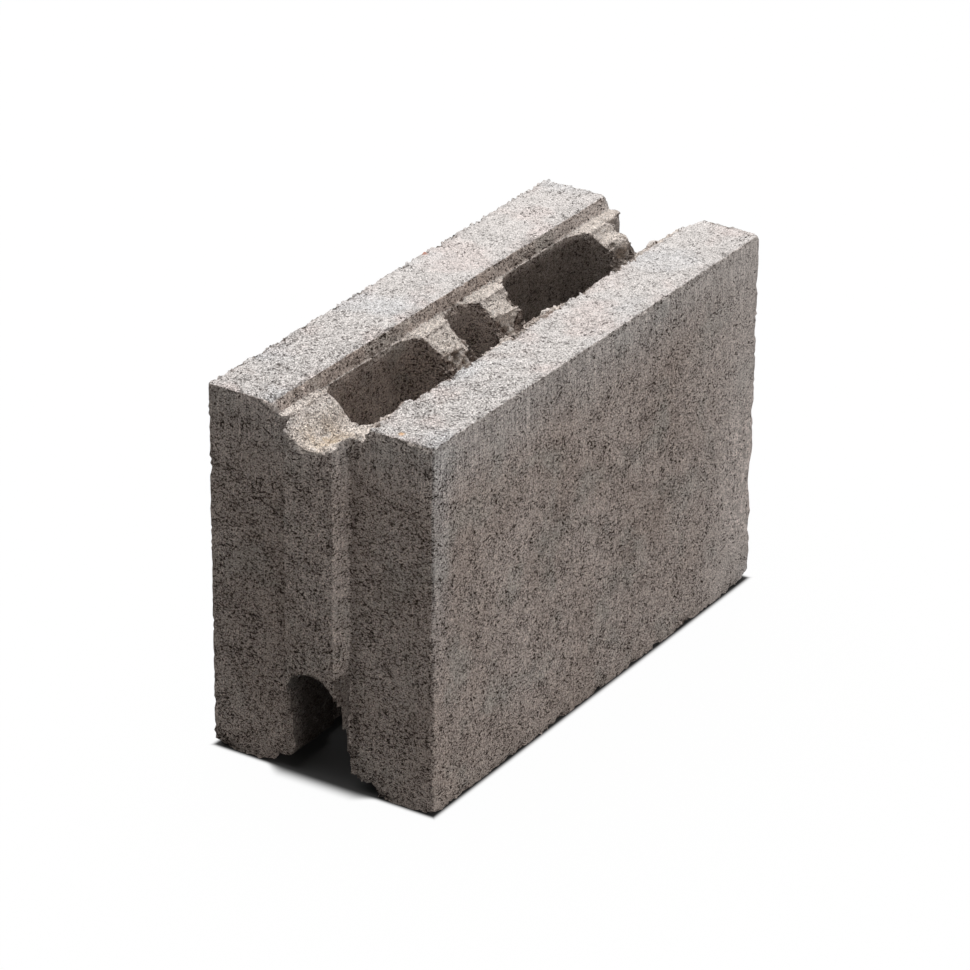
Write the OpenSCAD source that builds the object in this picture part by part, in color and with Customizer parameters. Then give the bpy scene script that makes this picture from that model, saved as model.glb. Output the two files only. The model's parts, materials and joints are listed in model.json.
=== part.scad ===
// Hollow concrete wall block, cast in one piece.
// Two face shells are joined by four webs, which leave two cells and a narrow middle hole.
// One end carries a tongue and the other a groove, so that blocks key together end to end.
// A recessed channel runs along the top, and an arched one along the underside.
// Sizes are in millimetres. The block stands on its bed face, X runs along it and Z is up.
// The origin is under the middle of the whole block, tongue included.

/* [Block] */
// Length of the face shells, without the tongue
face_length = 290; // [260:5:400]
// Width across both face shells
block_width = 125; // [120:1:180]
// Height from the bed face to the top
block_height = 190; // [140:5:250]
// Radius of the upright outer edges
edge_radius = 1.5; // [1:0.5:6]

/* [Walls] */
// Thickness of each face shell where a cell meets the floor of the top channel
shell_thickness = 39.5; // [35:0.5:42]
// Thickness of each end web, at the same level
end_web = 29.5; // [24:0.5:36]
// Thickness of each web beside the middle hole, at the same level
middle_web = 20; // [15:0.5:28]
// Lean of the cell walls in degrees, which widens the cells upwards
draft = 0.5; // [0.2:0.1:1]

/* [Cells] */
// Length of the middle hole along the block
middle_hole = 27; // [24:0.5:40]
// Corner radius of the two cells
cell_corner = 15; // [8:0.5:18]
// Corner radius of the middle hole
hole_corner = 11; // [6:0.5:11.5]

/* [Top channel] */
// Depth of the channel floor below the top
channel_depth = 7; // [4:0.5:10]
// Width of the ledge between a cell and the side of the channel
channel_ledge = 1; // [0.5:0.5:3]
// How far each side of the channel leans outwards on its way up
channel_lean = 2; // [0.5:0.5:5]
// Radius of the round trough in the tops of the webs
trough_radius = 20; // [18:0.5:22]
// Depth of the trough below the top
trough_depth = 15.5; // [12:0.5:24]

/* [Underside] */
// Depth of the recess between the two shells
recess_depth = 6.5; // [3:0.5:10]
// How far the recess reaches past the cells on each side
recess_margin = 5; // [3:0.5:8]
// How far each side of the recess leans outwards on its way down
recess_lean = 1; // [0.5:0.5:3]
// Height of the arch above the bed face
arch_height = 60; // [45:1:90]
// Radius of the arch's round head
arch_radius = 14; // [10:0.5:16]
// Lean of the arch's sides in degrees, which widens it downwards
arch_lean = 3; // [1:0.5:5]
// Radius where the arch's sides round off into the recess
arch_foot_radius = 6; // [2:0.5:7]

/* [Tongue and groove] */
// How far the tongue stands out of its end
tongue_reach = 10; // [6:0.5:14]
// Width of the tongue at its root
tongue_root = 31.6; // [26:0.2:36]
// Width of the tongue at its tip
tongue_tip = 27; // [22:0.2:30]
// Room between a tongue and the groove that takes it, on each side and at the tip
key_clearance = 2; // [0.5:0.25:3]

/* [Hidden] */
$fn = 96;

// How far a cutting shape runs past the faces that it cuts
overrun = 2;

overall_length = face_length + tongue_reach;
tongue_end = -overall_length / 2;
shell_start = tongue_end + tongue_reach;
groove_end = overall_length / 2;
middle_x = (shell_start + groove_end) / 2;

cell_width = block_width - 2 * shell_thickness;
cell_length = (face_length - middle_hole) / 2 - end_web - middle_web;
cell_offset = (middle_hole + cell_length) / 2 + middle_web;

channel_floor = block_height - channel_depth;
channel_half = cell_width / 2 + channel_ledge;
recess_half = cell_width / 2 + recess_margin;
arch_spring = arch_height - arch_radius;

// A point at x, y and its mirror image at -x, as the two ends of a symmetrical outline.
function right_and_left(half) = concat(half, [for (i = [len(half) - 1:-1:0]) [-half[i].x, half[i].y]]);

// Sweeps an outline drawn across the block, with its own x across and its y up, along the block.
module along_block() {
    translate([tongue_end - overrun, 0, 0])
        rotate([90, 0, 90])
            linear_extrude(overall_length + 2 * overrun)
                children();
}

module rounded_rectangle(length, width, radius) {
    square([length - 2 * radius, width], center = true);
    square([length, width - 2 * radius], center = true);
    for (x = [-1, 1], y = [-1, 1])
        translate([x * (length / 2 - radius), y * (width / 2 - radius)])
            circle(radius);
}

// An upright key that points towards -X, with its root at x = 0. Its sides run on past the root,
// so that a tongue is fused into its end and a groove breaks out of the other.
module key(reach, root, tip, low, high) {
    side_slope = (root - tip) / 2 / reach;
    inner_half = root / 2 + overrun * side_slope;
    translate([0, 0, low])
        linear_extrude(high - low)
            polygon([
                [-reach, -tip / 2],
                [overrun, -inner_half],
                [overrun, inner_half],
                [-reach, tip / 2],
            ]);
}

module tongue() {
    translate([shell_start, 0, 0])
        key(tongue_reach, tongue_root, tongue_tip, 0, block_height);
}

// The tongue's own shape, made wider and deeper by the clearance.
module groove() {
    translate([groove_end, 0, 0])
        key(
            tongue_reach + key_clearance,
            tongue_root + 2 * key_clearance,
            tongue_tip + 2 * key_clearance,
            -overrun,
            block_height + overrun
        );
}

// A cell's hollow. Its length, width and corner radius hold at the floor of the top channel,
// and its walls lean out upwards by the draft, round the corners too.
module cell_hollow(length, width, corner) {
    bottom = -overrun;
    top = block_height + overrun;
    corner_low = corner - (channel_floor - bottom) * tan(draft);
    corner_high = corner + (top - channel_floor) * tan(draft);
    corner_x = length / 2 - corner;
    corner_y = width / 2 - corner;
    translate([0, 0, bottom])
        hull()
            for (x = [-1, 1], y = [-1, 1])
                translate([x * corner_x, y * corner_y, 0])
                    cylinder(h = top - bottom, r1 = corner_low, r2 = corner_high, $fn = 48);
}

// Section of the top channel: leaning sides, a ledge beside each cell and a round trough.
module top_channel_section() {
    top = block_height + overrun;
    top_half = channel_half + channel_lean * (channel_depth + overrun) / channel_depth;
    polygon(right_and_left([[channel_half, channel_floor], [top_half, top]]));
    translate([0, block_height - trough_depth + trough_radius])
        circle(trough_radius);
}

// Section of the underside: a shallow recess between the shells with an arch above its middle.
// Each side of the arch is tangent to the round head and to the rounded foot.
module underside_section() {
    lean_out = tan(arch_lean);
    head_x = arch_radius * cos(arch_lean);
    head_y = arch_spring + arch_radius * sin(arch_lean);
    corner_x = head_x + (head_y - recess_depth) * lean_out;
    foot_x = corner_x + arch_foot_radius * (1 - sin(arch_lean)) / cos(arch_lean);
    foot_y = recess_depth + arch_foot_radius;
    side_x = foot_x - arch_foot_radius * cos(arch_lean);
    side_y = foot_y - arch_foot_radius * sin(arch_lean);
    bed_half = recess_half + recess_lean * (recess_depth + overrun) / recess_depth;
    polygon(right_and_left([[bed_half, -overrun], [recess_half, recess_depth]]));
    difference() {
        polygon(right_and_left([
            [foot_x, -overrun],
            [foot_x, recess_depth],
            [side_x, side_y],
            [head_x, head_y],
        ]));
        for (side = [-1, 1])
            translate([side * foot_x, foot_y])
                circle(arch_foot_radius);
    }
    translate([0, arch_spring])
        circle(arch_radius);
}

module block() {
    color([0.60, 0.57, 0.54])
        difference() {
            union() {
                translate([middle_x, 0, 0])
                    linear_extrude(block_height)
                        rounded_rectangle(face_length, block_width, edge_radius);
                tongue();
            }
            groove();
            translate([middle_x, 0, 0]) {
                cell_hollow(middle_hole, cell_width, hole_corner);
                for (side = [-1, 1])
                    translate([side * cell_offset, 0, 0])
                        cell_hollow(cell_length, cell_width, cell_corner);
            }
            along_block()
                top_channel_section();
            along_block()
                underside_section();
        }
}

block();
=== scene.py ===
# %% [markdown]
# # A hollow concrete block
# A block like this is pressed from a dry, stony mix in a steel mould and pushed out while it is still soft.
# The mould gives it true faces, and the dry mix leaves pores, crumbly edges and slumped webs behind.
# The CAD model has the true faces already. It is loaded as a fixed frame that nothing here may move, and
# the lesson makes a copy of it look like pressed concrete, at the same size but for a few proud grains.

import json
from math import radians

import bpy
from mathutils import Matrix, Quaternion, Vector

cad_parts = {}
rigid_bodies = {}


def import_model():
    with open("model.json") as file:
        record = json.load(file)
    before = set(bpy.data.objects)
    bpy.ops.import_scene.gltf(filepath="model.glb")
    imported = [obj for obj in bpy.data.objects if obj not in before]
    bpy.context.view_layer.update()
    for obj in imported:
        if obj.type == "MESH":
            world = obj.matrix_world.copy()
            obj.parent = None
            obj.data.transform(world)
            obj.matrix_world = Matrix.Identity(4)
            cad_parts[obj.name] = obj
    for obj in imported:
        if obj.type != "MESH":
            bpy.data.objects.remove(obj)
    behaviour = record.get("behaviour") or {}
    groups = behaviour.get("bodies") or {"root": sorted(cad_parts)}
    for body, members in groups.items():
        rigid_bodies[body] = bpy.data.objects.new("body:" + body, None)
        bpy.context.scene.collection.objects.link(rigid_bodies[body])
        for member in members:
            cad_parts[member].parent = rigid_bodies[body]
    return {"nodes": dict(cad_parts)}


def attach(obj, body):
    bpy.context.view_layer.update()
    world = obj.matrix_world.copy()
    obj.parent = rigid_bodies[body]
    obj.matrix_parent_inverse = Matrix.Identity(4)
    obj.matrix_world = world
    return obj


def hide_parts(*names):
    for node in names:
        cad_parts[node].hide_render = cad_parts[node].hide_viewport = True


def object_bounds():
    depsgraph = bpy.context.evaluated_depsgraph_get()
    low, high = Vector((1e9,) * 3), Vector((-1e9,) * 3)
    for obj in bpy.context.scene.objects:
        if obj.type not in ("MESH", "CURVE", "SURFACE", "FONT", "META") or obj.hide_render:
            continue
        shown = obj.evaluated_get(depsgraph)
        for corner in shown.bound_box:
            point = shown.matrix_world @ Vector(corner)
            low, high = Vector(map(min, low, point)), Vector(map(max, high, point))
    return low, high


MM = 0.001

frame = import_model()
cad_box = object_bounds()
block = frame["nodes"]["block"]
print("CAD box in metres", cad_box)

# %% [markdown]
# ## Places on the block
# Marks on the block are placed in millimetres, from its own ends and faces. The outer sizes are measured
# from the frame, so they are never typed twice. The inner ones are what the mould gives: the tongue stands
# out 10 mm, the channel along the top is 7 mm deep and a cell is 46 mm wide.

# %% Places
TONGUE_REACH = 10
CHANNEL_DEPTH = 7
CELL_WIDTH = 46

low, high = [[value / MM for value in corner] for corner in cad_box]
groove_end, half_width, top = high
shell_start = low[0] + TONGUE_REACH
middle = (shell_start + groove_end) / 2
half_length = (groove_end - shell_start) / 2
channel_floor = top - CHANNEL_DEPTH
half_cell = CELL_WIDTH / 2
print("shells from", shell_start, "to", groove_end, "and channel floor at", channel_floor)

# %% [markdown]
# ## One object at a time
# Blender's operators act on whatever is selected, and loading the frame leaves its parts selected.
# `only` makes one object the selected and active one, as a click in the viewport does. `apply` gives that
# object a modifier and applies it at once, so that the next step starts from a plain mesh.

# %% Tools
def only(obj):
    if bpy.context.object and bpy.context.object.mode != "OBJECT":
        bpy.ops.object.mode_set(mode="OBJECT")
    bpy.ops.object.select_all(action="DESELECT")
    obj.select_set(True)
    bpy.context.view_layer.objects.active = obj


def apply(obj, kind, **settings):
    only(obj)
    modifier = obj.modifiers.new(kind.title(), kind)
    for name, value in settings.items():
        setattr(modifier, name, value)
    bpy.ops.object.modifier_apply(modifier=modifier.name)
    print(kind, "leaves", len(obj.data.vertices), "vertices and", len(obj.data.polygons), "faces")


# %% [markdown]
# ## The casting as it leaves the mould
# The whole block is one casting, so it is one mesh. It could be modelled again from a cube, but a copy of
# the CAD mesh has the right size from the start. Its triangles don't share their corners yet, so doubles
# are merged. A second copy stays clean, because later steps measure the wear from its true edges.

# %% Casting
SAME_POINT = 0.002 * MM

casting = bpy.data.objects.new("concrete_block", block.data.copy())
casting.data.materials.clear()
bpy.context.scene.collection.objects.link(casting)
only(casting)
bpy.ops.object.mode_set(mode="EDIT")
bpy.ops.mesh.select_all(action="SELECT")
bpy.ops.mesh.remove_doubles(threshold=SAME_POINT)
bpy.ops.mesh.normals_make_consistent(inside=False)
bpy.ops.object.mode_set(mode="OBJECT")
clean = bpy.data.objects.new("clean_casting", casting.data.copy())
bpy.context.scene.collection.objects.link(clean)
print("casting", len(casting.data.vertices), "vertices")

# %% [markdown]
# ## Rough stones
# Concrete breaks along its stones, so a broken corner is lumpy and never flat. It could be sculpted, but
# brush strokes are hard to repeat in a script. Here a break is an ico sphere of its own size, shaken out
# of shape by Randomize with a fixed seed. Such stones serve to cut corners off and to add crumbs.

# %% Stone maker
def rough_stones(name, stones, shake, seed):
    """Stones at their places, with their three half sizes, all in millimetres and in one mesh."""
    bpy.ops.object.select_all(action="DESELECT")
    bpy.ops.mesh.primitive_ico_sphere_add(subdivisions=2, radius=MM)
    made = bpy.context.object
    made.name = name
    bpy.ops.object.mode_set(mode="EDIT")
    bpy.ops.mesh.delete(type="VERT")
    for place, size in stones:
        spot = Vector(place) * MM
        bpy.ops.mesh.primitive_ico_sphere_add(subdivisions=2, radius=MM, location=spot, scale=size)
    bpy.ops.mesh.select_all(action="SELECT")
    bpy.ops.transform.vertex_random(offset=shake * MM, seed=seed)
    bpy.ops.object.mode_set(mode="OBJECT")
    print(name, len(stones), "stones with", len(made.data.polygons), "faces")
    return made


# %% [markdown]
# ## Knocked corners
# Corners and edges were knocked in handling, mostly round the tongue and along the far upright edge. A
# Boolean cuts a rough stone out of each place. The exact solver is used, with self-intersection on, because
# some of the stones overlap.

# %% Chips
chips = (
    ((-141, 28, 191.5), (5, 4, 3.5)),
    ((-151, 14, 182.5), (4, 3, 4)),
    ((-151, -12, 182), (7, 8, 6)),
    ((-141, -49, 190.5), (3, 4, 3)),
    ((-141, -56, 189), (2.5, 3, 3)),
    ((147, -26, 191.5), (11, 4, 4)),
    ((152, -63.5, -1), (12, 4, 7)),
    ((-141.5, -64, -1), (6, 6, 5)),
    ((-140.5, 30, -0.5), (5, 4, 6)),
    ((-141, -26, 2), (4, 5, 6)),
    ((152, -64, 60), (6.5, 4.5, 14)),
    ((152.5, -64, 94), (6, 4.5, 7)),
    ((152.5, -64, 30), (6, 4.5, 10)),
    ((151.5, -64, 140), (4, 3.5, 9)),
    ((-115, 26, 190), (3, 2, 3)),
    ((-121, 24.5, 187), (2.5, 3, 3)),
    ((-101, -48, 191), (3, 2.5, 2.5)),
    ((16, -47, 191), (4, 2, 2.2)),
    ((16, -54, 191), (3, 2, 2.2)),
    ((21, -56, 191), (3, 1.6, 2)),
    ((-106, -32, 191), (5, 2, 2.6)),
)


def cut_out(name, stones, seed):
    cutter = rough_stones(name, stones, shake=0.8, seed=seed)
    apply(casting, "BOOLEAN", object=cutter, operation="DIFFERENCE", solver="EXACT", use_self=True)
    bpy.data.objects.remove(cutter)


cut_out("chip_stones", chips, seed=4)

# %% [markdown]
# ## Slumped webs
# When the mould let go, the tops of three webs sagged below the round trough. Each sag is one long stone
# that lies along the block, cut out in the same way.

# %% Slumps
slumps = (
    ((-30, -5, 175), (30, 11, 11.5)),
    ((17, -1, 175), (30, 9.5, 12)),
    ((119, -3, 175), (26, 9, 11.5)),
)
cut_out("slump_stones", slumps, seed=7)

# %% [markdown]
# ## Clods
# Lumps of mix that fell back lie on the webs and along the inner edges of the shells. They are rough
# stones too, but they are joined to the casting. Join leaves them overlapping, and the next step fuses
# them, which saves one Boolean.

# %% Clods on the webs
clods = (
    ((130, 8, 175.5), (7.5, 7, 4.5)),
    ((29, -15.5, 180), (9, 3, 3.5)),
    ((-9, -18, 180), (5, 5, 3.5)),
    ((-1, -19, 179), (5, 4, 4)),
    ((8, -18.5, 180), (6, 5, 3)),
    ((16, -17, 179), (4, 5, 4)),
    ((5, -22.4, 186.2), (8, 2.6, 1.4)),
    ((13, -22.4, 185.5), (6, 2.6, 1.6)),
    ((21, -20, 184.5), (5, 3, 3)),
    ((106, -22.4, 185.8), (9, 2.6, 1.4)),
    ((119, -20, 184.5), (5, 3, 3)),
    ((-110, -27, 190), (6, 3, 2.6)),
    ((-118, -28, 189.5), (4, 2.5, 2)),
    ((31, -26.8, 189.6), (4, 2, 1.6)),
    ((40, -26.8, 189.8), (2, 1.6, 1.6)),
    ((-66, -26.5, 189.5), (3, 1.8, 1.5)),
    ((70, -26.5, 189.5), (3, 1.8, 1.5)),
)
heap = rough_stones("clods", clods, shake=0.7, seed=9)
only(casting)
heap.select_set(True)
bpy.ops.object.join()

# %% [markdown]
# ## A skin that can be worn
# Wear needs many small, even faces, and the casting has a few long triangles. Subdividing would keep their
# slivers. Voxel Remesh builds a new skin of even faces instead, and fuses the clods into it on the way.

# %% Skin
apply(casting, "REMESH", mode="VOXEL", voxel_size=0.7 * MM)

# %% [markdown]
# ## Sums with sockets
# The wear and the finish are both sums of noises and masks in a node tree. Wiring dozens of Math nodes by
# hand is slow to read. A `Wire` is an output socket that Python's operators work on, so an expression such
# as `1 - mask` adds its nodes by itself. `rise` makes a mask: a smooth step from one value to another.

# %% Wires
class Wire:
    def __init__(self, nodes, socket):
        self.nodes = nodes
        self.socket = socket

    def math(self, operation, first, second):
        added = self.nodes.add("ShaderNodeMath", {"operation": operation}, {0: first, 1: second})
        return added["Value"]

    def __add__(self, other):
        return self.math("ADD", self, other)

    def __radd__(self, other):
        return self.math("ADD", other, self)

    def __sub__(self, other):
        return self.math("SUBTRACT", self, other)

    def __rsub__(self, other):
        return self.math("SUBTRACT", other, self)

    def __mul__(self, other):
        return self.math("MULTIPLY", self, other)

    def __rmul__(self, other):
        return self.math("MULTIPLY", other, self)

    def __abs__(self):
        return self.math("ABSOLUTE", self, 0.0)

    def over(self, other):
        """The larger of the two."""
        return self.math("MAXIMUM", self, other)

    def rise(self, start, end):
        """0 at start and 1 at end, with a smooth way between. The end may be the lower of the two."""
        sockets = {"Value": self, "From Min": start, "From Max": end}
        settings = {"interpolation_type": "SMOOTHSTEP"}
        return self.nodes.add("ShaderNodeMapRange", settings, sockets)["Result"]


# %% [markdown]
# ## Every other node
# `Nodes` adds any other node in one way: by its type, its settings and its sockets. Its further methods are
# the few patterns that concrete is made of here: soft lumps, packed grains, the joints between the grains,
# and spots. They take sizes in millimetres.

# %% Nodes
class Nodes:
    def __init__(self, tree):
        self.tree = tree
        tree.nodes.clear()

    def add(self, kind, settings={}, sockets={}):
        added = self.tree.nodes.new(kind)
        for name, value in settings.items():
            setattr(added, name, value)
        for name, value in sockets.items():
            if isinstance(name, int):
                socket = added.inputs[name]
            else:
                socket = next(each for each in added.inputs if each.enabled and each.name == name)
            if isinstance(value, Wire):
                self.tree.links.new(value.socket, socket)
            else:
                socket.default_value = value
        return {each.name: Wire(self, each) for each in added.outputs if each.enabled}

    def noise(self, place, size, detail=2.0, roughness=0.5):
        """Soft lumps about as large as size. Their values lie round 0.5."""
        sockets = {"Vector": place, "Scale": 1 / (size * MM), "Detail": detail, "Roughness": roughness}
        return self.add("ShaderNodeTexNoise", {}, sockets)["Fac"]

    def grains(self, place, size):
        """Packed grains about as large as size."""
        return self.add("ShaderNodeTexVoronoi", {}, {"Vector": place, "Scale": 1 / (size * MM)})

    def joints(self, place, size):
        """Distance to the joint between two packed grains, as a share of their size."""
        sockets = {"Vector": place, "Scale": 1 / (size * MM)}
        return self.add("ShaderNodeTexVoronoi", {"feature": "DISTANCE_TO_EDGE"}, sockets)["Distance"]

    def warp(self, place, size, reach):
        """The place, shaken by about half of reach, in lumps about as large as size."""
        sockets = {"Vector": place, "Scale": 1 / (size * MM), "Detail": 1.0}
        shake = self.add("ShaderNodeTexNoise", {}, sockets)["Color"]
        sockets = {0: shake, 1: (reach * MM,) * 3, 2: place}
        return self.add("ShaderNodeVectorMath", {"operation": "MULTIPLY_ADD"}, sockets)["Vector"]

    def spot(self, place, centre, radius):
        """1 at a point of the block and 0 from the radius on."""
        sockets = {0: place, 1: Vector(centre) * MM}
        away = self.add("ShaderNodeVectorMath", {"operation": "DISTANCE"}, sockets)["Value"]
        return away.rise(radius * MM, 0.0)

    def stretch(self, place, factors):
        return self.add("ShaderNodeVectorMath", {"operation": "MULTIPLY"}, {0: place, 1: factors})["Vector"]

    def split(self, vector):
        added = self.add("ShaderNodeSeparateXYZ", {}, {"Vector": vector})
        return added["X"], added["Y"], added["Z"]

    def millimetres(self, place):
        """The three coordinates of a place, in millimetres."""
        return self.split(self.stretch(place, (1 / MM,) * 3))

    def blend(self, amount, first, second, way="MIX"):
        settings = {"data_type": "RGBA", "blend_type": way}
        return self.add("ShaderNodeMix", settings, {"Factor": amount, "A": first, "B": second})["Result"]


# %% [markdown]
# ## Trees that change a mesh
# A tree of geometry nodes has a mesh going in and a mesh coming out. On the way it can store a value for
# every point under a name, which a modifier or a material reads later.

# %% Geometry trees
def geometry_tree(name):
    tree = bpy.data.node_groups.new(name, "GeometryNodeTree")
    tree.interface.new_socket("Geometry", in_out="INPUT", socket_type="NodeSocketGeometry")
    tree.interface.new_socket("Geometry", in_out="OUTPUT", socket_type="NodeSocketGeometry")
    return Nodes(tree)


def store(nodes, mesh, name, value, kind="FLOAT"):
    settings = {"data_type": kind, "domain": "POINT"}
    sockets = {"Geometry": mesh, "Name": name, "Value": value}
    return nodes.add("GeometryNodeStoreNamedAttribute", settings, sockets)["Geometry"]


# %% [markdown]
# ## The arrises
# Masons call the sharp outer edges of a block its arrises. They crumble first, so the wear is measured by
# the distance to them. Edge Angle finds them on the clean copy: the signed angle is above zero on an outer
# edge and below zero in an inner corner, which stays as the mould left it. The limit, about 30 degrees,
# leaves out the facets of the round cells.

# %% Arrises
SHARP = 0.5


def distance_to_lines(nodes, place, inner_corners):
    """Distance from a place to the nearest sharp edge of the clean casting, in millimetres."""
    shape = nodes.add("GeometryNodeObjectInfo", {}, {"Object": clean})["Geometry"]
    angle = nodes.add("GeometryNodeInputMeshEdgeAngle")["Signed Angle"]
    if inner_corners:
        angle = abs(angle)
    chosen = {"Geometry": shape, "Selection": angle - SHARP}
    lines = nodes.add("GeometryNodeSeparateGeometry", {"domain": "EDGE"}, chosen)["Selection"]
    near = {"Geometry": lines, "Sample Position": place}
    distance = nodes.add("GeometryNodeProximity", {"target_element": "EDGES"}, near)["Distance"]
    return distance * (1 / MM)


# %% [markdown]
# ## Weathering: where it happens
# Wear isn't even, so it starts with masks. `up` and `down` are the faces that look up and down: `FACING`
# holds the part of a normal from which a face begins to count, and from which it counts fully. `rough_web`
# is the honeycombed underside and flanks of the slumped webs, where the mix never packed. `rim` is the top
# and the foot of the block, which are handled most. The Displace modifier could move the skin too, but it
# takes one texture at a time, and this wear needs a dozen.

# %% Weathering masks
FACING = (0.4, 0.8)

weather = geometry_tree("weathering")
skin = weather.add("NodeGroupInput")["Geometry"]
place = weather.add("GeometryNodeInputPosition")["Position"]
normal = weather.add("GeometryNodeInputNormal")["Normal"]
to_arris = distance_to_lines(weather, place, inner_corners=False)
to_line = distance_to_lines(weather, place, inner_corners=True)
x, y, z = weather.millimetres(place)
slope = weather.split(normal)[2]
up = slope.rise(*FACING)
down = slope.rise(*[-share for share in FACING])
slumped = z.rise(channel_floor - 23, channel_floor - 19) * z.rise(channel_floor + 4, channel_floor + 1)
rough_web = slumped * abs(y + 5).rise(15, 10) * x.rise(-60, -50) * (1 - 0.6 * x.rise(110, 124))
rim = z.rise(top - 30, top - 18).over(z.rise(20, 8))
foot = z.rise(9, 0)
near_end = x.rise(60, -120)
print("weathering masks take", len(weather.tree.nodes), "nodes")

# %% [markdown]
# ## Weathering: crumbly edges
# Along an arris the paste wears away and leaves single grains standing. `wear` pares the edge down in
# patches, and more at the foot. `crumbs` raises the grains again, with the bumps of a Voronoi pattern.
# A bevel would be too clean for either. The upright edges are rounded in the CAD model, so no sharp line
# marks them, and they get a mask of their own.

# %% Crumbly edges
upright = abs(x - middle).rise(half_length - 4, half_length - 0.5)
upright = upright * abs(y).rise(half_width - 4, half_width - 0.5)
edge = (to_arris.rise(5, 0) * (0.3 + 0.7 * rim)).over(upright * 0.45)
worn = weather.noise(place, 8, 3, 0.6).rise(0.48, 0.7)
wear = edge * (0.1 + worn * 1.5 + foot * (0.5 + worn * 1.5))
crumb = (0.42 - weather.grains(place, 2.8)["Distance"]) * 2.8
crumbs = edge * crumb * weather.noise(place, 16, 1).rise(0.38, 0.58)

# %% [markdown]
# ## Weathering: faces
# The top was struck off, not pressed against steel, so it is lumpy, grainy and pitted, most of all near the
# tongue. The sides slid along the mould and only swell a little. All heights are in millimetres.

# %% Lumps and pits
top_lumps = up * (weather.noise(place, 6, 2, 0.5) - 0.5) * 1.6
top_grain = up * (0.42 - weather.grains(place, 2.1)["Distance"]) * 0.8
pit_limit = 0.3 + 0.07 * near_end + 0.2 * (weather.noise(place, 14, 1) - 0.5)
top_pits = up * (weather.noise(place, 2.6, 2, 0.6) - pit_limit).rise(0.05, -0.05)
side_lumps = (1 - up) * (weather.noise(place, 9, 2, 0.5) - 0.5) * 0.5
holes = rough_web * weather.noise(place, 4.4, 2, 0.6).rise(0.5, 0.38)
web_grain = rough_web * (0.4 - weather.grains(place, 3.0)["Distance"]) * 3.0

# %% [markdown]
# ## Weathering: moving the skin
# The heights are added up and every point moves along its normal by the sum. Faces that look down rest on
# a board and keep nearly flat. Where something was carved out, the point remembers it, so that the material
# can paint shade into the hollow.

# %% Worn skin
raised = crumbs + top_lumps + top_grain + side_lumps + web_grain
height = (raised - wear - top_pits * 0.9 - holes * 2.6) * (1 - 0.8 * down * (1 - edge)) * MM
lift = weather.add("ShaderNodeVectorMath", {"operation": "SCALE"}, {0: normal, "Scale": height})["Vector"]
worn_skin = weather.add("GeometryNodeSetPosition", {}, {"Geometry": skin, "Offset": lift})["Geometry"]
# The carved hollows are kept as a mask for painted shade.
carved = holes.over(top_pits).over(edge * crumb.rise(-0.3, -1.0))
worn_skin = store(weather, worn_skin, "carved", carved)

# %% [markdown]
# ## Weathering: the heaped end web
# The web over the tongue kept more mix than the others. It stands as a shoulder beside the trough, with a
# ledge up to the channel side and a lip at the tongue's tip. Each is a soft lift straight up. Points that
# the wear pushed below the floor are brought back up to it.

# %% Heaped web
end_web = x.rise(-108.6, -110.6) * z.rise(top - 22, top - 16) * z.rise(top - 1, top - 5)
shoulder = y.rise(1, 10.5) * y.rise(20, 11) * (5.5 - 3.5 * x.rise(-122, -146))
ledge = y.rise(11, 17) * y.rise(half_cell + 2, half_cell) * 1.6
tip = x.rise(-128, -144) * abs(y).rise(20, 14) * 2.0
heaped = end_web * (shoulder + ledge + tip) * MM
worn_x, worn_y, worn_z = weather.split(weather.add("GeometryNodeInputPosition")["Position"])
standing = {"X": worn_x, "Y": worn_y, "Z": (worn_z + heaped).over(0.0)}
standing = weather.add("ShaderNodeCombineXYZ", {}, standing)["Vector"]
moved = {"Geometry": worn_skin, "Position": standing}
worn_skin = weather.add("GeometryNodeSetPosition", {}, moved)["Geometry"]

# %% [markdown]
# ## Weathering: where detail is wanted
# The skin has far more faces than a piece may have, and the next step thins it out. Flat sides can do with
# large faces, while the top, the edges and the rough webs need small ones. A weight says so for each point.
# A vertex group of the same name is made first, so that the tree writes into it.

# %% Weights
top_edge = to_arris.rise(4.5, 2) * z.rise(top - 30, top - 20)
other_edge = to_arris.rise(5, 2) * 0.45
line = to_line.rise(3.5, 1.5) * 0.45
outside = abs(y).rise(45, 60).over(abs(x).rise(125, 136))
detail = (up * 0.85).over(top_edge).over(other_edge).over(line).over(upright * 0.45)
detail = detail.over(rough_web).over(0.1 + 0.12 * outside)
worn_skin = store(weather, worn_skin, "thinning", 1 - detail)
weather.add("NodeGroupOutput", {}, {"Geometry": worn_skin})
casting.vertex_groups.new(name="thinning")
apply(casting, "NODES", node_group=weather.tree)

# %% [markdown]
# ## Thinning out
# Decimate collapses the edges that matter least, and the vertex group steers it to the plain sides. The
# count stays under the most that one piece may have. A loose speck can be left over as a stray face, so
# only what hangs together with the tip of the tongue is kept. Smooth shading by angle keeps broken edges
# crisp.

# %% Thin out
MOST_TRIANGLES = 190000
CRISP_ANGLE = 0.75

full = sum(len(face.vertices) - 2 for face in casting.data.polygons)
apply(casting, "DECIMATE", ratio=MOST_TRIANGLES / full, vertex_group="thinning", vertex_group_factor=1.0)
bpy.ops.object.mode_set(mode="EDIT")
bpy.ops.mesh.select_all(action="DESELECT")
bpy.ops.object.mode_set(mode="OBJECT")
tongue_tip = min(casting.data.vertices, key=lambda point: point.co.x)
tongue_tip.select = True
bpy.ops.object.mode_set(mode="EDIT")
bpy.ops.mesh.select_linked()
bpy.ops.mesh.select_all(action="INVERT")
bpy.ops.mesh.delete(type="VERT")
bpy.ops.object.mode_set(mode="OBJECT")
bpy.ops.object.shade_smooth_by_angle(angle=CRISP_ANGLE)
print("casting keeps", len(casting.data.polygons), "faces")

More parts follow.
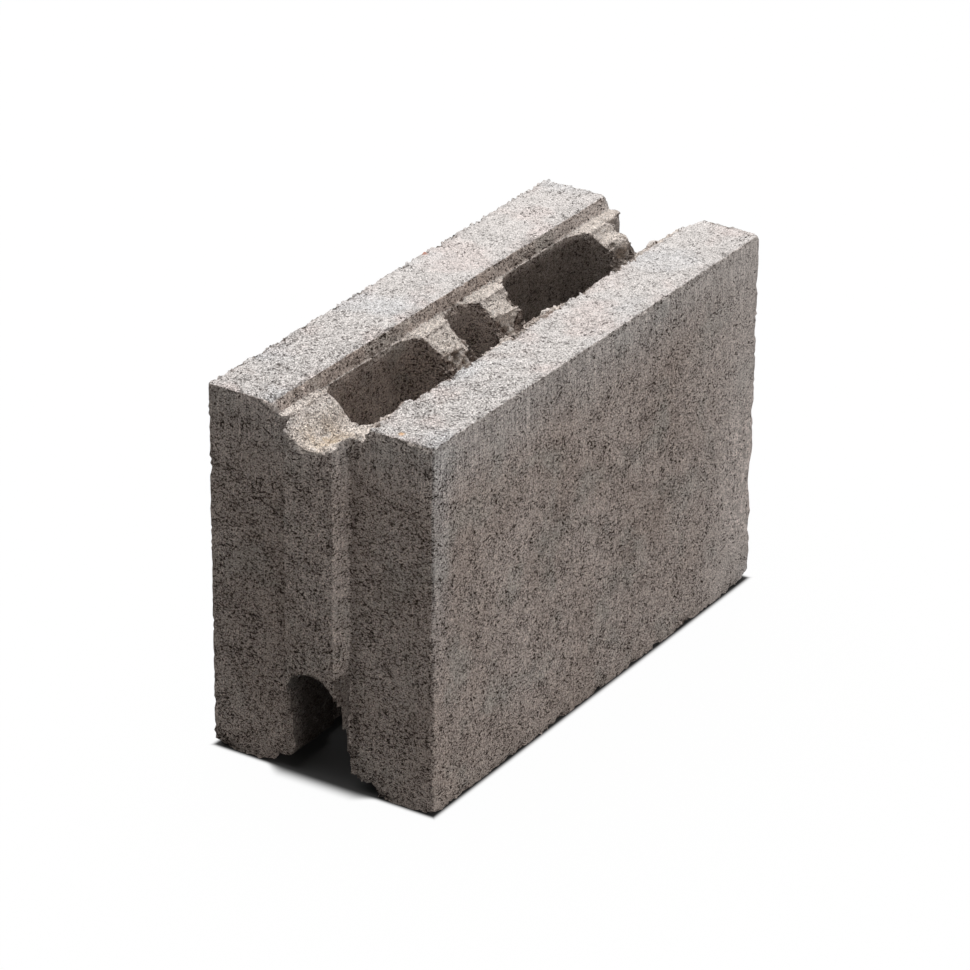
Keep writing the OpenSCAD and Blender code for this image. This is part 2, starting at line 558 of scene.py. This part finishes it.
# %% [markdown]
# ## What the mould touched
# The finish follows the mould, not the wear: a face that slid along steel is smoother than the top, even
# where it is chipped. So each point looks up the nearest face of the clean copy and keeps the direction
# that face looks in. The clean copy has done its work then and is removed.

# %% Mould normals
marks = geometry_tree("mould_marks")
skin = marks.add("NodeGroupInput")["Geometry"]
shape = marks.add("GeometryNodeObjectInfo", {}, {"Object": clean})["Geometry"]
nearest = {
    "Mesh": shape,
    "Value": marks.add("GeometryNodeInputNormal")["True Normal"],
    "Sample Position": marks.add("GeometryNodeInputPosition")["Position"],
}
nearest = marks.add("GeometryNodeSampleNearestSurface", {"data_type": "FLOAT_VECTOR"}, nearest)["Value"]
marked = store(marks, skin, "mould_normal", nearest, "FLOAT_VECTOR")
marks.add("NodeGroupOutput", {}, {"Geometry": marked})
apply(casting, "NODES", node_group=marks.tree)
bpy.data.objects.remove(clean)

# %% [markdown]
# ## Concrete: faces and places
# The finish of raw concrete changes from face to face, so it starts with masks again. They read Object
# coordinates and the two values stored on the mesh, and so they stay on the block from any side.
# `side` is what the mould touched, `end` those of its faces that look along the block, and `up` the struck
# top and the webs.

# %% Faces and places
concrete = bpy.data.materials.new("concrete")
concrete.use_nodes = True
paint = Nodes(concrete.node_tree)
place = paint.add("ShaderNodeTexCoord")["Object"]
facing = paint.split(paint.add("ShaderNodeAttribute", {"attribute_name": "mould_normal"})["Vector"])
carved = paint.add("ShaderNodeAttribute", {"attribute_name": "carved"})["Fac"]
x, y, z = paint.millimetres(place)
up = facing[2].rise(*FACING)
side = 1 - up
end = abs(facing[0]).rise(*FACING)
near_end = x.rise(60, -120)
# Painted light: the sides are made paler towards the far end.
far_end_painted_light = side * x.rise(70, 148)
inside = abs(y).rise(31, 28) * abs(x - middle).rise(half_length - 2, half_length - 5)
band = side * z.rise(top - 42, top - 2) * (1 - inside)
web = up * abs(y).rise(half_cell + 2, half_cell) * z.rise(top - 2, top - 4)

# %% [markdown]
# ## Concrete: noises from large to small
# Concrete has clouds a few fingers wide, patches the size of a lentil and dust finer than sand.
# One noise with many octaves would mix them all evenly. Separate noises let each size have its own strength.
# The press squeezes the pores flat, and pushing the block out of the mould drags lines down its sides.

# %% Noises
PRESS = 1.5
DRAG = 0.08

pressed = paint.stretch(place, (1, 1, PRESS))
dragged = paint.stretch(place, (1, 1, DRAG))
shaken = paint.warp(pressed, 1.5, 1.6)
cloud = paint.noise(place, 45, 3, 0.5)
tint = paint.noise(place, 28, 2, 0.5)
cluster = paint.noise(place, 8, 2, 0.5)
patch = paint.noise(pressed, 4.5, 1, 0.5)
sand = paint.noise(pressed, 1.2, 1, 0.5)
dust = paint.noise(place, 0.7, 1, 0.5)
streak = paint.noise(dragged, 1.0, 1, 0.5)
grain = paint.grains(place, 1.5)
pale_grain, dark_grain, _ = paint.split(grain["Color"])

# %% [markdown]
# ## Concrete: pores
# A dry mix leaves gaps between its grains, and on the faces they show as short, crooked, dark pores. They
# are far too many and too fine for the mesh, so they are colour and bump. The joints of a shaken Voronoi
# pattern have the right crooked shape. A noise breaks them up, and a limit says how much of it shows:
# more in clusters and on the ends, less under the top edge and at the far end.

# %% Pores
broken = paint.noise(pressed, 1.7, 2, 0.5)
fine = paint.noise(pressed, 1.0, 2, 0.55)
crowd = cluster.rise(0.28, 0.72)
limit = 0.62 - 0.08 * crowd - 0.02 * end + 0.03 * band + 0.04 * up * (1.5 - near_end) + 0.04 * far_end_painted_light
wide_pores = paint.joints(shaken, 2.3).rise(0.17, 0.07) * (broken - limit).rise(-0.01, 0.05)
thin_pores = paint.joints(shaken, 1.15).rise(0.21, 0.1) * (sand - limit).rise(-0.03, 0.03)
pit_limit = 0.32 + 0.05 * crowd - 0.03 * band - 0.03 * far_end_painted_light - 0.05 * up * (1.3 - near_end)
pits = (fine - pit_limit).rise(0.03, -0.03)

# %% [markdown]
# ## Concrete: laying on colour
# Colours are laid over each other as glazes are: each has a mask that says where and how much. `glaze`
# takes a list of them, so that the recipe reads from the first coat to the last.

# %% Glazes
def glaze(base, coats):
    for mask, colour in coats:
        base = paint.blend(mask, base, (*colour, 1))
    return base


# %% [markdown]
# ## Concrete: the paste
# The cement paste is a warm grey with brown and olive clouds. It is greyer in the band under the top edge,
# where wet paste was dragged down, and paler on the rubbed corner. Painted light makes the sides paler
# towards the far end. The struck top is nearly white, between pink and blue-grey, partly its own colour and
# partly painted light from above.

# %% Paste
BROWN_PASTE = (0.485, 0.405, 0.358, 1)
PALE_PASTE = (0.565, 0.485, 0.438, 1)
TOP_WARM_WITH_LIGHT = (0.64, 0.605, 0.585, 1)
TOP_PINK_WITH_LIGHT = (0.665, 0.6, 0.575, 1)

far_patch = x.rise(112, 136) * z.rise(112, 92) * z.rise(20, 36) * patch.rise(0.4, 0.6)
far_foot = paint.spot(place, (149, -62, 2), 16) * patch.rise(0.35, 0.6)
rubbed = abs(y + half_width).rise(2, 1) * x.rise(-120, -139) * z.rise(50, 150)
paste = paint.blend(cloud.rise(0.3, 0.7), BROWN_PASTE, PALE_PASTE)
paste = glaze(paste, (
    (tint.rise(0.5, 0.7) * (0.5 - 0.2 * end), (0.45, 0.43, 0.39)),
    (band * (0.5 - 0.25 * end), (0.55, 0.53, 0.515)),
    (side * rubbed * 0.5, (0.6, 0.58, 0.57)),
    # Painted light, paler towards the far end.
    (far_end_painted_light * 0.6, (0.66, 0.6, 0.565)),
    (side * far_patch * 0.8, (0.8, 0.7, 0.65)),
    (far_foot * 0.7, (0.76, 0.74, 0.72)),
))
# The top's pale, neutral colour is partly its own and partly painted light from above.
top_and_painted_light = paint.blend(tint.rise(0.48, 0.64), TOP_WARM_WITH_LIGHT, TOP_PINK_WITH_LIGHT)
top_and_painted_light = glaze(top_and_painted_light, ((cloud.rise(0.5, 0.7) * 0.7, (0.62, 0.615, 0.62)),))
paste = paint.blend(up, paste, top_and_painted_light)

# %% [markdown]
# ## Concrete: stains and painted shade
# Dry webs are yellower than the top, with one tan stain over the tongue. The cell at the far end, the
# corners beside the tongue and the inside of the arch get painted shade: a dark coat makes them darker than
# the lamps here do. The cell at the far end, the corners beside the tongue and the inside of the arch are
# darker in the photograph than the lamps here make them. That may be damp or only shadow, and a dark coat
# stands for either.

# %% Stains and painted shade
stained = paint.spot(place, (-134, -3, 177), 20) * cluster.rise(0.3, 0.55)
# Painted shade in the cell at the far end.
painted_cell_shade = abs(y).rise(half_cell + 2, half_cell + 0.5) * z.rise(channel_floor + 1, channel_floor - 5)
painted_cell_shade = side * painted_cell_shade * x.rise(20, 60) * abs(x - middle).rise(half_length - 11, half_length - 15)
# Painted shadow in the corners beside the tongue.
painted_tongue_shadow = side * abs(abs(y) - 18.5).rise(4, 0.5) * abs(x - shell_start).rise(2, 1)
# Painted shade inside the arch, darker away from its mouths.
deep = abs(x - middle).rise(half_length + 5, half_length - 20)
painted_arch_shade = (1 - end) * abs(y).rise(24, 20) * z.rise(66, 60) * (0.7 + 0.3 * deep)
paste = glaze(paste, (
    (web * 0.8, (0.72, 0.64, 0.575)),
    (web * stained * 0.75, (0.58, 0.445, 0.3)),
    # The last three coats are painted shade.
    (painted_cell_shade * 0.82, (0.24, 0.205, 0.18)),
    (painted_tongue_shadow * 0.3, (0.2, 0.17, 0.15)),
    (painted_arch_shade * 0.95, (0.06, 0.052, 0.045)),
))

# %% [markdown]
# ## Concrete: light and dark grains
# Sand and dust make the paste sparkle from point to point. They change how light it is and not its hue, so
# one grey factor multiplies the colour. Single pale and dark grains come from the cells of a Voronoi
# pattern, which each have a random colour.

# %% Grains
tone = (dust - 0.5) * 2.2 + (sand - 0.5) * 0.7 + (patch - 0.5) * 0.4
tone = tone + (streak - 0.5) * side * (0.4 + 0.7 * band)
contrast = 1 + up * (0.4 * near_end - 0.15) + 0.15 * end - 0.2 * far_end_painted_light
light = (1 + tone * contrast).over(0.1)
grey = paint.add("ShaderNodeCombineColor", {}, {"Red": light, "Green": light, "Blue": light})["Color"]
paste = paint.blend(1.0, paste, grey, "MULTIPLY")
paste = glaze(paste, (
    (pale_grain.rise(0.9, 0.95) * (0.08 + 0.27 * up), (0.78, 0.75, 0.73)),
    (dark_grain.rise(0.9, 0.95) * (0.15 + 0.15 * up), (0.16, 0.145, 0.135)),
))

# %% [markdown]
# ## Concrete: pores, cracks and odd stones
# The dark of the pores goes on over the grains, softer on the top, where light reaches into them. Two short
# cracks lie in the end beside the tongue: spots in coordinates that are squeezed across the block, so that
# each comes out long and thin. A red, an orange and a white stone sit where a mason would notice them.

# %% Pores and odd stones
SQUEEZE = 0.15

squeezed = paint.stretch(shaken, (1, SQUEEZE, 1))
cracks = [
    paint.spot(squeezed, (shell_start, across * SQUEEZE, height * PRESS), 1.5)
    for across, height in ((57, 109), (39, 77))
]
paste = glaze(paste, (
    (thin_pores * (0.85 - 0.15 * up), (0.07, 0.05, 0.04)),
    (wide_pores * (0.95 - 0.35 * up), (0.045, 0.031, 0.024)),
    (pits * (0.85 - 0.25 * up), (0.055, 0.039, 0.031)),
    (cracks[0].over(cracks[1]).rise(0.1, 0.5), (0.03, 0.025, 0.022)),
    # Painted shade in the hollows carved into the mesh.
    (carved * (0.45 + 0.1 * web), (0.12, 0.1, 0.085)),
    (paint.spot(place, (39, 62, top), 3.2) * 0.9, (0.5, 0.2, 0.13)),
    (paint.spot(place, (-135.3, -41.8, top), 2.4) * 0.9, (0.75, 0.45, 0.22)),
    (paint.spot(place, (shell_start, 12, 53), 2.4) * 0.9, (0.8, 0.78, 0.76)),
))

# %% [markdown]
# ## Concrete: the surface
# Dry concrete has next to no gloss, so it is nearly as rough as the shader goes and has no specular layer.
# A Bump node gives the grains and pores their small shadows. The crumbs, the breaks and the larger pits of
# the top are in the mesh.

# %% Surface
RELIEF_DEPTH = 0.6 * MM

relief = dust * 0.5 + sand * 0.5 + patch * 0.6 - thin_pores * 0.7 - wide_pores * 1.3
bump = {"Strength": 1.0, "Distance": RELIEF_DEPTH, "Height": relief}
bump = paint.add("ShaderNodeBump", {}, bump)["Normal"]
dry = {"Base Color": paste, "Normal": bump, "Roughness": 0.95, "Specular IOR Level": 0.0}
surface = paint.add("ShaderNodeBsdfPrincipled", {}, dry)["BSDF"]
paint.add("ShaderNodeOutputMaterial", {}, {"Surface": surface})
casting.data.materials.append(concrete)
print("concrete takes", len(paint.tree.nodes), "nodes")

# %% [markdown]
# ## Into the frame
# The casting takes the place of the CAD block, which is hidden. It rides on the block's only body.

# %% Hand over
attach(casting, "root")
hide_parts("block")

# %% [markdown]
# ## The floor
# Product photographs stand on a white sweep that has no horizon. A plane that glows white only for rays
# which look at it does the same, and hardly lights the block from below. Near the block the glow gives way
# to matt floor painted dark grey: a painted shadow, thin along the foot and deeper in front of the arch,
# over the lamps' own shadow.

# %% Floor
WHITE = (1, 1, 1, 1)
PAPER = (0.95, 0.95, 0.95, 1)
PAINTED_SHADOW_GREY = (0.1, 0.1, 0.1, 1)
GLOW_SHARE = 0.98


def looking(nodes):
    """1 for rays that show a thing to the eye, straight or through a mirror or glass."""
    path = nodes.add("ShaderNodeLightPath")
    return path["Is Camera Ray"].over(path["Is Glossy Ray"]).over(path["Is Transmission Ray"])


bpy.ops.object.select_all(action="DESELECT")
bpy.ops.mesh.primitive_plane_add(size=8)
floor = bpy.context.object
floor.name = "floor"
ground = bpy.data.materials.new("floor")
ground.use_nodes = True
sweep = Nodes(ground.node_tree)
x, y, z = sweep.millimetres(sweep.add("ShaderNodeTexCoord")["Object"])
before_arch = abs(y).rise(32, 20) * x.rise(-115, -138)
outside = (abs(x - middle) - half_length).over(abs(y) - half_width)
beside = outside.rise(-1, 2.5 + 8 * before_arch)
seen = looking(sweep)
# Painted shadow: near the block the floor is painted dark grey for the eye.
grey = sweep.blend(seen * beside, PAINTED_SHADOW_GREY, PAPER)
matt = {"Base Color": grey, "Roughness": 1.0, "Specular IOR Level": 0.0}
matt = sweep.add("ShaderNodeBsdfPrincipled", {}, matt)["BSDF"]
glow = sweep.add("ShaderNodeEmission", {}, {"Color": WHITE, "Strength": 1.0})["Emission"]
mixed = sweep.add("ShaderNodeMixShader", {}, {0: seen * beside * GLOW_SHARE, 1: matt, 2: glow})["Shader"]
sweep.add("ShaderNodeOutputMaterial", {}, {"Surface": mixed})
floor.data.materials.append(ground)
print("floor takes", len(sweep.tree.nodes), "nodes")

# %% [markdown]
# ## The studio
# The air round the block is white to the eye, but gives it only a little grey light. Then three soft lamps:
# a wide one overhead for the pale top, a low one for the long face and a weak one for the end, which
# the photograph shows much darker. Wide lamps keep the cells dim without a hard line of light in them.

# %% Air
DIM_AIR = (0.08, 0.075, 0.07, 1)

world = bpy.data.worlds.new("studio")
bpy.context.scene.world = world
world.use_nodes = True
sky = Nodes(world.node_tree)
air = sky.blend(looking(sky), DIM_AIR, WHITE)
air = sky.add("ShaderNodeBackground", {}, {"Color": air, "Strength": 1.0})["Background"]
sky.add("ShaderNodeOutputWorld", {}, {"Surface": air})

# %% Lamps
lamps = (
    ("overhead", (0.3, 0.4, 1.35), (0.1, 0.1, 0.19), 2.4, 2.4, 40.5),
    ("long_face", (-0.1, -1.6, 0.3), (0, 0, 0.1), 1.2, 0.5, 9.0),
    ("end_face", (-1.4, -0.95, 0.35), (0, 0, 0.1), 0.6, 0.5, 2.5),
)
for name, stand, target, width, depth, power in lamps:
    aim = (Vector(stand) - Vector(target)).to_track_quat("Z", "Y").to_euler()
    bpy.ops.object.light_add(type="AREA", location=stand, rotation=aim)
    lamp = bpy.context.object
    lamp.name = name
    lamp.data.shape = "RECTANGLE"
    lamp.data.size = width
    lamp.data.size_y = depth
    lamp.data.energy = power
    print("lamp", name, power, "W")

# %% [markdown]
# ## The camera
# The photograph was taken with a long lens from above the corner by the tongue. The camera's place, what it
# points at and its slight roll were found by fitting the block's corners to those in the picture.

# %% Camera
LENS = 182.7
SENSOR = 36

stand = Vector((-1788.91, -1147.56, 1152.35)) * MM
target = Vector((3.29, 2.62, 95)) * MM
roll = radians(0.49)
aim = (target - stand).to_track_quat("-Z", "Y") @ Quaternion((0, 0, 1), roll)
bpy.ops.object.camera_add(location=stand, rotation=aim.to_euler())
camera = bpy.context.object
camera.data.lens = LENS
camera.data.sensor_width = SENSOR
bpy.context.scene.camera = camera
bpy.context.scene.view_settings.view_transform = "Standard"
print("camera", (target - stand).length, "m from the block")
